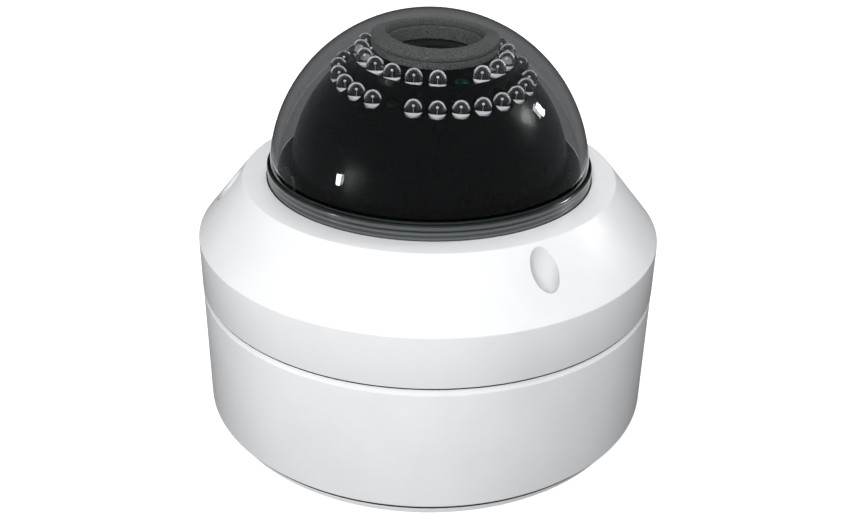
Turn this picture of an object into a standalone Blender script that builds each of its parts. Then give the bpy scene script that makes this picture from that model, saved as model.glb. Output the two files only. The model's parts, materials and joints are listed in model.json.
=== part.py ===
"""Vandal-resistant dome CCTV camera, lens pointing up, as an assembly of separate pieces.

The origin is the centre of the mounting plate's lower face, +Z runs up the dome's axis, and the
front of the camera faces -Y. Sizes below are millimetres, turned into metres where meshes are made.
An azimuth is measured in degrees from the front (-Y) towards the right (+X).
"""
from math import asin, cos, pi, radians, sin, sqrt

import bmesh
import bpy
from mathutils import Matrix, Vector

MM = 0.001
GAP = 0.3  # clearance kept between neighbouring pieces

# Segments round a turned piece
LARGE, MEDIUM, BOSS, SMALL = 32, 20, 16, 8

# ---- Driving dimensions ------------------------------------------------------------------
BODY_R = 74.3  # outside radius of the cylindrical housing
PLATE_R, PLATE_T = 71.0, 3.1
BASE_Z0 = 4.4  # underside of the base housing
SEAM_Z = 46.6  # joint between base housing and cover
SHOULDER_Z = 63.3  # where the cover's skirt turns into its cone
TOP_Z = 81.5  # flat ring round the dome
TOP_R = 59.6
WALL = 3.2
FLOOR_Z = BASE_Z0 + WALL
RIM_TOP = SEAM_Z - GAP  # top of the base housing's rim
GROOVE_IN, GROOVE_OUT, GROOVE_DEPTH = 69.8, 72.2, 1.6  # seal groove in the rim

DOME_R, DOME_T = 51.0, 2.5
DOME_Z = 81.7  # centre of the hemisphere, and of every aiming axis
COLLAR_R, COLLAR_Z = 51.7, 86.0
OPENING_R = 52.0  # hole in the cover
UNDER_Z = TOP_Z - 3.0  # underside of the flat ring
SEAL_T = 1.0  # dome gasket under the flat ring
FLANGE_R, FLANGE_T = 54.8, 2.6
FLANGE_Z = UNDER_Z - SEAL_T - FLANGE_T - 2 * GAP  # underside of the dome's flange
RETAINER_Z = FLANGE_Z - GAP  # top of the ring that holds the dome
RETAINER_T = 2.4
RETAINER_IN, RETAINER_OUT = 49.7, 56.0
LINER_R, LINER_T, LINER_Z = 49.3, 1.0, 54.0  # black wall inside the dome's foot

BALL_R, BALL_T = 44.4, 2.2
PAN_REST, TILT_REST = 20.0, 4.5  # how the lens leans at rest, degrees
BALL_FOOT = -30.0  # lower edge of the shroud, from the centre of the dome
CROWN_Z, CROWN_R = 29.4, 25.3  # where the shroud's hollow meets the pocket under its deck
PIVOT_IN, PIVOT_OUT = 45.3, 47.0  # inner and outer face of the yoke's arms
PIVOT_R = 3.1
ARM_W = 12.0

LED_R = 2.5
OUTER_LEDS, OUTER_RING_R, OUTER_LED_Z = 24, 28.8, 33.5
INNER_LEDS, INNER_RING_R, INNER_LED_Z = 20, 21.8, 39.6  # one of the inner places is the photocell
OUTER_PITCH = 13.5  # degrees between outer LEDs in a group of eight
GROUP_GAP_AZ = (-24.0, 96.0, 216.0)  # a screw stands in each gap between groups
PHOTOCELL_AZ = 20.5
RIM_R, RIM_Z = 24.9, 38.3
DECK_Z, DECK_T = 37.4, 1.8  # face that the inner LEDs come through
HUB_R, HUB_Z, HUB_BORE = 18.7, 40.7, 14.8  # raised seat of the foam rings
FOAM_R, FOAM_BORE = 18.9, 14.3

COVER_SCREW_AZ = (30.5, 150.5, 270.5)
COVER_SCREW_R = 64.8
WELL_R, WELL_FLOOR = 4.35, 57.0
RETAINER_SCREW_AZ = (96.0, 216.0, 336.0)
RETAINER_SCREW_R = 57.4
WALL_SCREW_AZ, WALL_SCREW_R = (20.0, 140.0, 260.0), 54.0
POST_AZ, POST_R, POST_TOP = (60.0, 180.0, 300.0), 46.0, FLOOR_Z + 17.8
PEG_TOP = FLOOR_Z + 5.4

PAN_PLATE_Z = POST_TOP + GAP
PAN_PLATE_T = 2.0
TURNTABLE_Z = PAN_PLATE_Z + PAN_PLATE_T + GAP
TURNTABLE_HUB_Z = PAN_PLATE_Z - 3.3  # foot of the hub that hangs through the gimbal plate

CABLE_HOLE_R = 14.0
CONDUIT_R, CONDUIT_Z = 10.5, 20.0  # plugged side entry at the back
WALL_SCREW_HOLE_R = 2.6
COVER_THREAD_R, POST_THREAD_R = 2.2, 1.6

# ---- Scene -------------------------------------------------------------------------------
for old in list(bpy.data.objects):
    bpy.data.objects.remove(old, do_unlink=True)

CAMERA = bpy.data.collections.new("dome_cctv_camera")
CUTTERS = bpy.data.collections.new("cutters")
for collection in (CAMERA, CUTTERS):
    bpy.context.scene.collection.children.link(collection)


def material(name, colour, roughness, metallic=0.0, transmission=0.0):
    made = bpy.data.materials.new(name)
    made.use_nodes = True
    shader = made.node_tree.nodes["Principled BSDF"]
    shader.inputs["Base Color"].default_value = (*colour, 1.0)
    shader.inputs["Roughness"].default_value = roughness
    shader.inputs["Metallic"].default_value = metallic
    shader.inputs["Transmission Weight"].default_value = transmission
    return made


WHITE = material("white_paint", (0.86, 0.87, 0.87), 0.35)
CLEAR = material("clear_dome", (0.95, 0.97, 0.97), 0.02, transmission=1.0)
BLACK = material("black_shroud", (0.012, 0.013, 0.014), 0.18)
FOAM = material("foam", (0.075, 0.08, 0.082), 0.95)
RUBBER = material("rubber", (0.02, 0.022, 0.024), 0.6)
STEEL = material("steel", (0.6, 0.6, 0.6), 0.3, metallic=1.0)
DARK_METAL = material("dark_metal", (0.03, 0.03, 0.032), 0.4, metallic=0.6)
BOARD = material("circuit_board", (0.02, 0.12, 0.06), 0.45)
LED = material("led_lens", (0.85, 0.9, 0.95), 0.05, transmission=0.9)
GLASS = material("lens_glass", (0.25, 0.2, 0.35), 0.02, transmission=0.8)
SENSOR = material("sensor", (0.05, 0.07, 0.09), 0.15)
CONNECTOR = material("connector_plastic", (0.8, 0.79, 0.72), 0.5)
CELL = material("photocell", (0.03, 0.35, 0.36), 0.3)

# ---- Frames: the fixed one, the yoke's, and the lens's ------------------------------------


def frame(name, parent=None, location=(0, 0, 0), rotation=None):
    empty = bpy.data.objects.new(name, None)
    empty.location = Vector(location) * MM
    empty.parent = parent
    if rotation is not None:
        empty.rotation_mode = "QUATERNION"
        empty.rotation_quaternion = rotation.to_quaternion()
    CAMERA.objects.link(empty)
    return empty


# In the yoke's frame the tilt axis is X, and the lens tips towards -Y.
YOKE = frame("yoke_frame", location=(0, 0, DOME_Z), rotation=Matrix.Rotation(radians(PAN_REST), 3, "Z"))
LENS = frame("lens_frame", parent=YOKE, rotation=Matrix.Rotation(radians(TILT_REST), 3, "X"))
bpy.context.view_layer.update()

# ---- Modelling helpers -------------------------------------------------------------------


def place(azimuth, radius, height=0.0):
    return Vector((radius * sin(radians(azimuth)), -radius * cos(radians(azimuth)), height))


def add(name, mesh, finish=None, parent=None):
    """A mesh object: a piece of the camera, or a cutter where no finish is given."""
    made = bpy.data.objects.new(name, mesh)
    made.parent = parent
    if finish is None:
        made.hide_render = True
        made.display_type = "WIRE"
        CUTTERS.objects.link(made)
    else:
        mesh.materials.append(finish)
        CAMERA.objects.link(made)
    return made


def turned(name, profile, finish=None, parent=None, segments=LARGE, closed=True):
    """A profile of (radius, height) turned about Z. It runs down its outer side first."""
    mesh = bpy.data.meshes.new(name)
    points = [(r * MM, 0, z * MM) for r, z in profile]
    edges = [(i, i + 1) for i in range(len(points) - 1)]
    if closed:
        edges.append((len(points) - 1, 0))
    mesh.from_pydata(points, edges, [])
    made = add(name, mesh, finish, parent)
    screw = made.modifiers.new("turn", "SCREW")
    screw.axis = "Z"
    screw.angle = 2 * pi
    screw.steps = screw.render_steps = segments
    screw.use_merge_vertices = True
    screw.merge_threshold = 0.00001
    screw.use_smooth_shade = False
    return made


def ring(name, inner, outer, z0, z1, finish=None, parent=None, segments=LARGE):
    profile = [(outer, z1), (outer, z0), (inner, z0), (inner, z1)]
    return turned(name, profile, finish, parent, segments)


def evaluated_mesh(made):
    bpy.context.view_layer.update()
    graph = bpy.context.evaluated_depsgraph_get()
    return bpy.data.meshes.new_from_object(made.evaluated_get(graph))


def many(name, shape, matrices, finish=None, parent=None):
    """Copies of one mesh, each moved by its matrix, held in one object."""
    joined = bmesh.new()
    for matrix in matrices:
        first = len(joined.verts)
        joined.from_mesh(shape)
        joined.verts.ensure_lookup_table()
        bmesh.ops.transform(joined, matrix=matrix, verts=joined.verts[first:])
    mesh = bpy.data.meshes.new(name)
    joined.to_mesh(mesh)
    joined.free()
    return add(name, mesh, finish, parent)


def rod_mesh(radius, z0, z1, segments=SMALL, tip=None):
    """A closed cylinder along Z, or a cone frustum where a tip radius is given."""
    made = bmesh.new()
    bmesh.ops.create_cone(
        made, cap_ends=True, segments=segments,
        radius1=radius * MM, radius2=(radius if tip is None else tip) * MM, depth=(z1 - z0) * MM,
        matrix=Matrix.Translation((0, 0, (z0 + z1) / 2 * MM)) @ Matrix.Rotation(-pi / 2, 4, "Z"),
    )
    mesh = bpy.data.meshes.new("rod")
    made.to_mesh(mesh)
    made.free()
    return mesh


def box(name, size, centre, finish=None, parent=None):
    made = bmesh.new()
    shape = Matrix.Translation(Vector(centre) * MM) @ Matrix.Diagonal((*(Vector(size) * MM), 1))
    bmesh.ops.create_cube(made, size=1, matrix=shape)
    mesh = bpy.data.meshes.new(name)
    made.to_mesh(mesh)
    made.free()
    return add(name, mesh, finish, parent)


def at(position):
    return Matrix.Translation(Vector(position) * MM)


def boolean(target, tool, operation):
    made = target.modifiers.new(operation.lower(), "BOOLEAN")
    made.operation = operation
    made.object = tool
    made.solver = "EXACT"
    return target


def rods(name, places, radius, z0, z1, parent=None, segments=SMALL):
    """A cutter of parallel rods, one at each place."""
    return many(name, rod_mesh(radius, z0, z1, segments), [at(p) for p in places], None, parent)


def sphere_arc(radius, z_from, z_to, steps, centre=0.0):
    """Points of a circle's right half, between two heights above its centre, at even angles."""
    first, last = asin(z_from / radius), asin(z_to / radius)
    angles = [first + (last - first) * i / steps for i in range(steps + 1)]
    return [(radius * cos(a), centre + radius * sin(a)) for a in angles]


def screw_fastener(name, position, head_r, head_z, tip_z, shank_r, head_t, finish=STEEL, parent=None):
    """A screw along Z: a head with a hex recess, and a plain shank. head_z is under the head."""
    made = turned(
        name,
        [(0, head_z + head_t), (head_r * 0.8, head_z + head_t), (head_r, head_z + head_t * 0.6),
         (head_r, head_z), (shank_r, head_z), (shank_r, tip_z), (0, tip_z)],
        finish, parent, SMALL, closed=False,
    )
    made.location = Vector(position) * MM
    recess = rods(name + "_recess", [position], head_r * 0.45, head_z + head_t * 0.45, head_z + head_t + 1,
                  parent, 6)
    boolean(made, recess, "DIFFERENCE")
    return made


# ---- Base housing and what is fixed in it --------------------------------------------------


def mounting_plate():
    plate = ring("mount_plate", CABLE_HOLE_R, PLATE_R, 0, PLATE_T, WHITE)
    holes = [place(az, WALL_SCREW_R) for az in WALL_SCREW_AZ]
    boolean(plate, rods("plate_holes", holes, WALL_SCREW_HOLE_R, -1, PLATE_T + 1), "DIFFERENCE")
    ring("mount_gasket", 62.0, PLATE_R + 2.0, PLATE_T + GAP, BASE_Z0 - GAP, RUBBER)


def base_housing():
    inner = BODY_R - WALL
    rim_z = RIM_TOP
    groove_z = rim_z - GROOVE_DEPTH
    base = turned("base_housing", [
        (BODY_R - 1.0, rim_z), (BODY_R, rim_z - 2.2), (BODY_R, BASE_Z0 + 0.8), (BODY_R - 0.8, BASE_Z0),
        (CABLE_HOLE_R, BASE_Z0), (CABLE_HOLE_R, FLOOR_Z), (inner - 2, FLOOR_Z), (inner, FLOOR_Z + 2),
        (inner, rim_z - 9.8), (inner - 2.6, rim_z - 6.3), (inner - 2.6, rim_z),
        (GROOVE_IN, rim_z), (GROOVE_IN, groove_z), (GROOVE_OUT, groove_z), (GROOVE_OUT, rim_z),
    ], WHITE)
    sunk = FLOOR_Z - 1.5
    bosses = many("cover_bosses", rod_mesh(4.8, sunk, rim_z - 2.0),
                  [at(place(az, COVER_SCREW_R)) for az in COVER_SCREW_AZ])
    posts = many("gimbal_posts", rod_mesh(3.6, sunk, POST_TOP), [at(place(az, POST_R)) for az in POST_AZ])
    pegs = many("board_pegs", rod_mesh(2.4, sunk, PEG_TOP), [at(place(az + 40, 30)) for az in POST_AZ])
    for added in (bosses, posts, pegs):
        boolean(base, added, "UNION")
    screws = [place(az, COVER_SCREW_R) for az in COVER_SCREW_AZ]
    gimbal_screws = [place(az, POST_R) for az in POST_AZ]
    wall_screws = [place(az, WALL_SCREW_R) for az in WALL_SCREW_AZ]
    boolean(base, rods("boss_bores", screws, COVER_THREAD_R, 32, 50), "DIFFERENCE")
    boolean(base, rods("post_bores", gimbal_screws, POST_THREAD_R, 17, 32), "DIFFERENCE")
    boolean(base, rods("wall_screw_holes", wall_screws, WALL_SCREW_HOLE_R, 0, 12), "DIFFERENCE")
    conduit = many("conduit_hole", rod_mesh(CONDUIT_R, 60, 80, MEDIUM), [conduit_matrix()])
    boolean(base, conduit, "DIFFERENCE")


def conduit_matrix():
    """Turns a rod along Z to point out of the back of the housing."""
    return at((0, 0, CONDUIT_Z)) @ Matrix.Rotation(-pi / 2, 4, "X")


def conduit_plug():
    face = BODY_R - 1.0
    shape = rod_mesh(CONDUIT_R - 0.4, face - 5.3, face, MEDIUM)
    plug = many("conduit_plug", shape, [conduit_matrix()], WHITE)
    socket = many("conduit_plug_socket", rod_mesh(4.6, face - 2.8, 80, 6), [conduit_matrix()])
    boolean(plug, socket, "DIFFERENCE")


def housing_details():
    seal_r, cord_r = (GROOVE_IN + GROOVE_OUT) / 2, 0.9
    seal_z = RIM_TOP - GROOVE_DEPTH + 0.2 + cord_r
    angles = [-2 * pi * i / SMALL for i in range(SMALL)]
    section = [(seal_r + cord_r * cos(a), seal_z + cord_r * sin(a)) for a in angles]
    turned("rim_seal", section, RUBBER)
    turned("cable_grommet", [
        (17.5, FLOOR_Z + 2.2), (17.5, FLOOR_Z + GAP), (CABLE_HOLE_R - GAP, FLOOR_Z + GAP),
        (CABLE_HOLE_R - GAP, BASE_Z0 + 0.2), (8.0, BASE_Z0 + 0.2), (8.0, FLOOR_Z + 2.2),
    ], RUBBER, segments=MEDIUM)
    board_z = PEG_TOP + GAP
    ring("power_board", 20.0, 41.0, board_z, board_z + 1.6, BOARD, segments=MEDIUM)
    block_h = 6.5
    box("terminal_block", (16, 8, block_h), (0, -31, board_z + 1.6 + GAP + block_h / 2), CONNECTOR)
    plate = ring("gimbal_plate", 30.0, 52.0, PAN_PLATE_Z, PAN_PLATE_Z + PAN_PLATE_T, STEEL)
    posts = [place(az, POST_R) for az in POST_AZ]
    boolean(plate, rods("gimbal_plate_holes", posts, 1.9, 22, 32), "DIFFERENCE")
    for i, spot in enumerate(posts, 1):
        screw_fastener(f"gimbal_screw_{i}", spot, 2.8, TURNTABLE_Z, PAN_PLATE_Z - 6, 1.3, 1.8)


# ---- Cover, dome and what lifts off with them ------------------------------------------------


def cover():
    slope = (BODY_R + 0.1 - TOP_R) / (TOP_Z - SHOULDER_Z)  # inward run for each millimetre up
    skirt_r = BODY_R + 0.1
    under_r = TOP_R - 1.4
    shell = turned("dome_cover", [
        (OPENING_R, TOP_Z), (TOP_R - 0.8, TOP_Z), (TOP_R + 0.5 * slope, TOP_Z - 0.5),
        (skirt_r - 0.6 * slope, SHOULDER_Z + 0.6), (skirt_r, SHOULDER_Z - 0.6), (skirt_r, SEAM_Z + 0.3),
        (69.2, SEAM_Z + 0.3), (69.2, SEAM_Z + 2.6), (skirt_r - 3.1, SEAM_Z + 5),
        (skirt_r - 3.1, SHOULDER_Z - 1.0), (under_r, UNDER_Z), (OPENING_R, UNDER_Z),
    ], WHITE)
    envelope = turned("cover_envelope", [
        (0, TOP_Z - 1), (TOP_R - 0.8, TOP_Z - 1), (skirt_r - 0.8, SHOULDER_Z - 0.4),
        (skirt_r - 0.8, SEAM_Z + 0.6), (0, SEAM_Z + 0.6),
    ], closed=False)
    wells = [place(az, COVER_SCREW_R) for az in COVER_SCREW_AZ]
    holds = [place(az, RETAINER_SCREW_R) for az in RETAINER_SCREW_AZ]
    above = TOP_Z + 2
    bosses = many("well_bosses", rod_mesh(6.0, SEAM_Z, above, BOSS), [at(p) for p in wells])
    studs = many("retainer_bosses", rod_mesh(2.2, RETAINER_Z + GAP, above), [at(p) for p in holds])
    for added in (bosses, studs):
        boolean(added, envelope, "INTERSECT")
        boolean(shell, added, "UNION")
    boolean(shell, rods("wells", wells, WELL_R, WELL_FLOOR, above, segments=BOSS), "DIFFERENCE")
    boolean(shell, rods("well_screw_holes", wells, COVER_THREAD_R + 0.1, 40, 62), "DIFFERENCE")
    boolean(shell, rods("retainer_screw_holes", holds, 1.3, RETAINER_Z - 2, UNDER_Z), "DIFFERENCE")


def dome():
    inner_r = DOME_R - DOME_T
    blend = 0.4  # the collar's top edge, above and below its height
    outside = sphere_arc(DOME_R, DOME_R - 0.0001, COLLAR_Z - DOME_Z + blend, 6, DOME_Z)
    inside = sphere_arc(inner_r, 0, inner_r - 0.0001, 6, DOME_Z)
    flange_top = FLANGE_Z + FLANGE_T
    profile = [(0, DOME_Z + DOME_R), *outside[1:], (COLLAR_R, COLLAR_Z - blend), (COLLAR_R, flange_top),
               (FLANGE_R, flange_top), (FLANGE_R, FLANGE_Z), (inner_r, FLANGE_Z), *inside[:-1],
               (0, DOME_Z + inner_r)]
    turned("dome_bubble", profile, CLEAR, closed=False)


def dome_fixings():
    seal_z = FLANGE_Z + FLANGE_T + GAP
    ring("dome_gasket", COLLAR_R + GAP, FLANGE_R, seal_z, seal_z + SEAL_T, RUBBER)
    low_z = RETAINER_Z - RETAINER_T
    retainer = ring("dome_retainer", RETAINER_IN, RETAINER_OUT, low_z, RETAINER_Z, STEEL)
    holds = [place(az, RETAINER_SCREW_R) for az in RETAINER_SCREW_AZ]
    ears = many("retainer_ears", rod_mesh(3.0, low_z, RETAINER_Z), [at(p) for p in holds])
    boolean(retainer, ears, "UNION")
    boolean(retainer, rods("retainer_holes", holds, 1.4, low_z - 1, RETAINER_Z + 1), "DIFFERENCE")
    lip_z = low_z - GAP
    turned("inner_liner", [
        (LINER_R, RETAINER_Z), (LINER_R, lip_z), (53.0, lip_z), (53.0, lip_z - 1.4),
        (LINER_R, lip_z - 1.4), (LINER_R, LINER_Z), (LINER_R - LINER_T, LINER_Z),
        (LINER_R - LINER_T, RETAINER_Z),
    ], BLACK)
    for i, spot in enumerate(holds, 1):
        upside_down = screw_fastener(f"retainer_screw_{i}", Vector((0, 0, 0)), 2.0, 0, -5.4, 1.0, 1.5)
        turn = at(spot + Vector((0, 0, low_z - GAP))) @ Matrix.Rotation(pi, 4, "X")
        for piece in (upside_down, bpy.data.objects[f"retainer_screw_{i}_recess"]):
            piece.matrix_world = turn
    for i, az in enumerate(COVER_SCREW_AZ, 1):
        screw_fastener(f"cover_screw_{i}", place(az, COVER_SCREW_R), 3.7, WELL_FLOOR + GAP, 35.0, 1.9, 3.2)


# ---- Turntable and yoke ----------------------------------------------------------------------


def turntable():
    """Built about the yoke frame, whose origin is at the height of the tilt axis."""
    down = -DOME_Z
    table = turned("turntable", [
        (41.0, TURNTABLE_Z + 3 + down), (41.0, TURNTABLE_Z + down), (29.4, TURNTABLE_Z + down),
        (29.4, TURNTABLE_HUB_Z + down), (26.0, TURNTABLE_HUB_Z + down), (26.0, TURNTABLE_Z + 3 + down),
    ], DARK_METAL, YOKE)
    clip_top = PAN_PLATE_Z - GAP + down
    ring("turntable_clip", 30.2, 36.0, clip_top - 2.2, clip_top, STEEL, YOKE, MEDIUM)
    foot_z0 = TURNTABLE_Z + 3 + GAP + down
    foot_z1 = foot_z0 + 1.8
    screw_spots = [Vector((side * 36.0, side * 2.5, 0)) for side in (-1, 1)]
    boolean(table, rods("turntable_holes", screw_spots, 1.7, foot_z0 - 5, foot_z0 + 1, YOKE), "DIFFERENCE")
    lock_spot = Vector((0, -35.0, 0))
    boolean(table, rods("lock_hole", [lock_spot], 1.9, foot_z0 - 6, foot_z0 + 1, YOKE), "DIFFERENCE")
    for side, label in ((-1, "left"), (1, "right")):
        arm = yoke_arm(label, side, foot_z0, foot_z1)
        spot = [s for s in screw_spots if s.x * side > 0]
        boolean(arm, rods(f"arm_hole_{label}", spot, 1.7, foot_z0 - 1, foot_z1 + 1, YOKE), "DIFFERENCE")
    for i, spot in enumerate(screw_spots, 1):
        screw_fastener(f"arm_screw_{i}", spot, 2.4, foot_z1 + GAP, foot_z0 - 2.8, 1.3, 1.6, parent=YOKE)
    lock = turned("pan_lock_screw", [
        (0, foot_z0 + 6.5), (3.9, foot_z0 + 6.5), (4.4, foot_z0 + 6.0), (4.4, foot_z0 + 0.5),
        (1.5, foot_z0 + 0.5), (1.5, foot_z0 - 2.9), (0, foot_z0 - 2.9),
    ], STEEL, YOKE, SMALL, closed=False)
    lock.location = lock_spot * MM


def yoke_arm(label, side, foot_z0, foot_z1):
    """An upright strap with a round top, and a foot that reaches in over the turntable."""
    middle = side * (PIVOT_IN + PIVOT_OUT) / 2
    thick = PIVOT_OUT - PIVOT_IN
    arm = box(f"yoke_arm_{label}", (thick, ARM_W, -foot_z0), (middle, 0, foot_z0 / 2), DARK_METAL, YOKE)
    along_x = Matrix.Rotation(pi / 2, 4, "Y")
    top = many(f"arm_top_{label}", rod_mesh(ARM_W / 2, middle - thick / 2, middle + thick / 2, BOSS),
               [along_x], None, YOKE)
    foot = box(f"arm_foot_{label}", (PIVOT_OUT - 30, ARM_W, foot_z1 - foot_z0),
               (side * (PIVOT_OUT + 30) / 2, 0, (foot_z0 + foot_z1) / 2), None, YOKE)
    hole = many(f"arm_bore_{label}", rod_mesh(PIVOT_R + 0.4, middle - 4, middle + 4), [along_x], None, YOKE)
    for added in (top, foot):
        boolean(arm, added, "UNION")
    return boolean(arm, hole, "DIFFERENCE")


# ---- Eyeball: the black shroud that tilts, and what it carries --------------------------------


def outer_led_azimuths():
    """Eight in each of three groups, centred between the gaps."""
    found = []
    for gap in GROUP_GAP_AZ:
        middle = gap + 60
        found += [middle + (i - 3.5) * OUTER_PITCH for i in range(OUTER_LEDS // 3)]
    return found


def inner_led_azimuths():
    pitch = 360 / INNER_LEDS
    return [PHOTOCELL_AZ + pitch * i for i in range(1, INNER_LEDS)]


def in_lens(azimuth, radius, height=0.0):
    """A place in the lens frame for an azimuth seen from the camera's front."""
    return place(azimuth - PAN_REST, radius, height)


def shroud():
    inner_r = BALL_R - BALL_T
    outside = sphere_arc(BALL_R, 35.9, BALL_FOOT, 6)
    inside = sphere_arc(inner_r, BALL_FOOT, CROWN_Z, 5)
    deck_under = DECK_Z - DECK_T
    ball = turned("eyeball_shroud", [
        (RIM_R - 0.7, RIM_Z), (RIM_R, RIM_Z), *outside, *inside, (CROWN_R, CROWN_Z), (CROWN_R, deck_under),
        (HUB_BORE, deck_under), (HUB_BORE, HUB_Z), (HUB_R, HUB_Z), (HUB_R, DECK_Z), (RIM_R - 0.7, DECK_Z),
    ], BLACK, LENS)
    outer = [in_lens(az, OUTER_RING_R) for az in outer_led_azimuths()]
    inner = [in_lens(az, INNER_RING_R) for az in [PHOTOCELL_AZ, *inner_led_azimuths()]]
    screws = [in_lens(az, OUTER_RING_R) for az in GROUP_GAP_AZ]
    for cutter in (
        rods("outer_led_holes", outer, LED_R + 0.45, 27, 42, LENS),
        rods("inner_led_holes", inner, LED_R + 0.2, 33, 40, LENS),
        rods("shroud_screw_seats", screws, 2.0, 32.4, 42, LENS),
        rods("shroud_screw_holes", screws, 1.1, 27, 33, LENS),
        pivot_bores("shroud_pivot_bores"),
    ):
        boolean(ball, cutter, "DIFFERENCE")
    for i, spot in enumerate(screws, 1):
        screw_fastener(f"shroud_screw_{i}", spot, 1.6, 32.7, 24.0, 0.8, 1.0, parent=LENS)


def pivot_bores(name):
    along_x = Matrix.Rotation(pi / 2, 4, "Y")
    rods_x = [at((side * 41.0, 0, 0)) @ along_x for side in (-1, 1)]
    return many(name, rod_mesh(PIVOT_R + GAP, -6, 6), rods_x, None, LENS)


def led_boards():
    shape = evaluated_mesh(turned("led_shape", [
        (0, LED_R), (LED_R * 0.72, LED_R * 0.7), (LED_R, 0), (LED_R, -7.1), (0, -7.1),
    ], segments=SMALL, closed=False))
    for name, azimuths, radius, dome_z, inner, outer in (
        ("led_board_outer", outer_led_azimuths(), OUTER_RING_R, OUTER_LED_Z, 18.5, 31.7),
        ("led_board_inner", inner_led_azimuths(), INNER_RING_R, INNER_LED_Z, 15.8, 24.9),
    ):
        top = dome_z - 6.8
        board = ring(name, inner, outer, top - 1.6, top, BOARD, LENS)
        leds = many(name + "_leds", shape, [at(in_lens(az, radius, dome_z)) for az in azimuths], None, LENS)
        boolean(board, leds, "UNION")
        if name == "led_board_outer":
            screws = [in_lens(az, OUTER_RING_R) for az in GROUP_GAP_AZ]
            boolean(board, rods("led_board_screw_holes", screws, 1.1, 20, 30, LENS), "DIFFERENCE")
    cell = turned("photocell", [(0, 38.6), (2.0, 38.6), (2.4, 38.2), (2.4, 33.1), (0, 33.1)],
                  CELL, LENS, SMALL, closed=False)
    cell.location = in_lens(PHOTOCELL_AZ, INNER_RING_R) * MM


def foam_rings():
    """Two layers on the hub. The upper one is shaped by the inside of the dome."""
    touch_r = DOME_R - DOME_T - 0.9
    split_z = 42.3
    ring("foam_ring_lower", FOAM_BORE, FOAM_R, HUB_Z + GAP, split_z, FOAM, LENS, MEDIUM)
    top = [(r, sqrt(touch_r**2 - r**2)) for r in (FOAM_BORE, (FOAM_BORE + FOAM_R) / 2, FOAM_R)]
    upper_z = split_z + GAP
    turned("foam_ring_upper", [*top, (FOAM_R, upper_z), (FOAM_BORE, upper_z)], FOAM, LENS, MEDIUM)


def eyeball_frame():
    carrier = ring("core_carrier", 24.3, 41.3, -3.9, 3.9, DARK_METAL, LENS)
    boolean(carrier, pivot_bores("carrier_pivot_bores"), "DIFFERENCE")
    for side, label in ((-1, "left"), (1, "right")):
        pin = many(f"pivot_screw_{label}", rod_mesh(PIVOT_R, 36.0, PIVOT_OUT - 0.1),
                   [Matrix.Rotation(side * pi / 2, 4, "Y")], STEEL, LENS)
        slot = box(f"pivot_slot_{label}", (1.6, 8, 1.0), (side * PIVOT_OUT, 0, 0), None, LENS)
        boolean(pin, slot, "DIFFERENCE")


# ---- Camera core: lens, sensor and boards, which turn about the lens axis ----------------------


def camera_core():
    turned("lens_mount", [
        (23.8, 6.4), (23.8, -4.2), (27.0, -4.2), (27.0, -6.6), (12.9, -6.6), (12.9, 6.4),
    ], DARK_METAL, LENS, MEDIUM)
    ring("core_clip", 24.2, 27.5, 4.2, 5.4, STEEL, LENS, MEDIUM)
    box("sensor_board", (38, 38, 1.6), (0, 0, -11.2), BOARD, LENS)
    box("image_sensor", (9, 8, 1.4), (0, 0, -9.4), SENSOR, LENS)
    box("processor_board", (38, 38, 1.6), (0, 0, -21.2), BOARD, LENS)
    for i, (x, y) in enumerate(((-16, -16), (16, 16)), 1):
        for name, z0, z1 in (("sensor_spacer", -10.1, -6.9), ("board_standoff", -20.1, -12.3)):
            many(f"{name}_{i}", rod_mesh(2.2, z0, z1, 6), [at((x, y, 0))], STEEL, LENS)


def lens():
    """A varifocal lens: a fixed barrel, and two rings with a lock knob each."""
    turned("lens_barrel", [
        (13.4, 38.4), (13.4, 31.4), (11.0, 31.4), (11.0, 8.0), (14.0, 8.0), (14.0, 6.8), (12.5, 6.8),
        (12.5, -5.0), (9.0, -5.0), (9.0, 33.5), (11.6, 33.5), (11.6, 38.4),
    ], DARK_METAL, LENS, MEDIUM)
    turned("lens_front_glass", [
        (0, 38.0), (6.0, 37.4), (11.3, 35.6), (11.3, 33.8), (0, 33.8),
    ], GLASS, LENS, MEDIUM, closed=False)
    turned("lens_rear_glass", [
        (0, 0.0), (8.7, 0.0), (8.7, -3.0), (0, -4.2),
    ], GLASS, LENS, SMALL, closed=False)
    for label, z0, z1, azimuth in (("zoom", 8.4, 17.0, 60.0), ("focus", 17.6, 26.0, 250.0)):
        ring(f"{label}_ring", 11.4, 14.2, z0, z1, BLACK, LENS, MEDIUM)
        outward = at((0, 0, (z0 + z1) / 2)) @ Matrix.Rotation(radians(azimuth), 4, "Z")
        outward = outward @ Matrix.Rotation(pi / 2, 4, "Y")
        knob = many(f"{label}_knob", rod_mesh(1.3, 14.5, 17.2), [outward], STEEL, LENS)
        head = many(f"{label}_knob_head", rod_mesh(2.4, 16.4, 20.2), [outward], None, LENS)
        boolean(knob, head, "UNION")


def shade_pieces():
    """Settles each piece's mesh, smooth across its curves and sharp at its corners."""
    settled = {made: evaluated_mesh(made) for made in CAMERA.objects if made.type == "MESH"}
    for made, mesh in settled.items():
        made.modifiers.clear()
        made.data = mesh
        mesh.shade_smooth()
        mesh.set_sharp_from_angle(angle=radians(30))


mounting_plate()
base_housing()
conduit_plug()
housing_details()
cover()
dome()
dome_fixings()
turntable()
shroud()
led_boards()
foam_rings()
eyeball_frame()
camera_core()
lens()
shade_pieces()
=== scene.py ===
"""Looks of the dome CCTV camera, over its CAD frame.

Profiles are in millimetres as (radius, height), and are turned about the dome's axis, or about the
lens's axis from the centre of the dome. An azimuth is in degrees from the front (-Y) towards +X.
"""

import json
from math import asin, cos, pi, radians, sin, sqrt

import bmesh
import bpy
from mathutils import Matrix, Vector, noise


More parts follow.
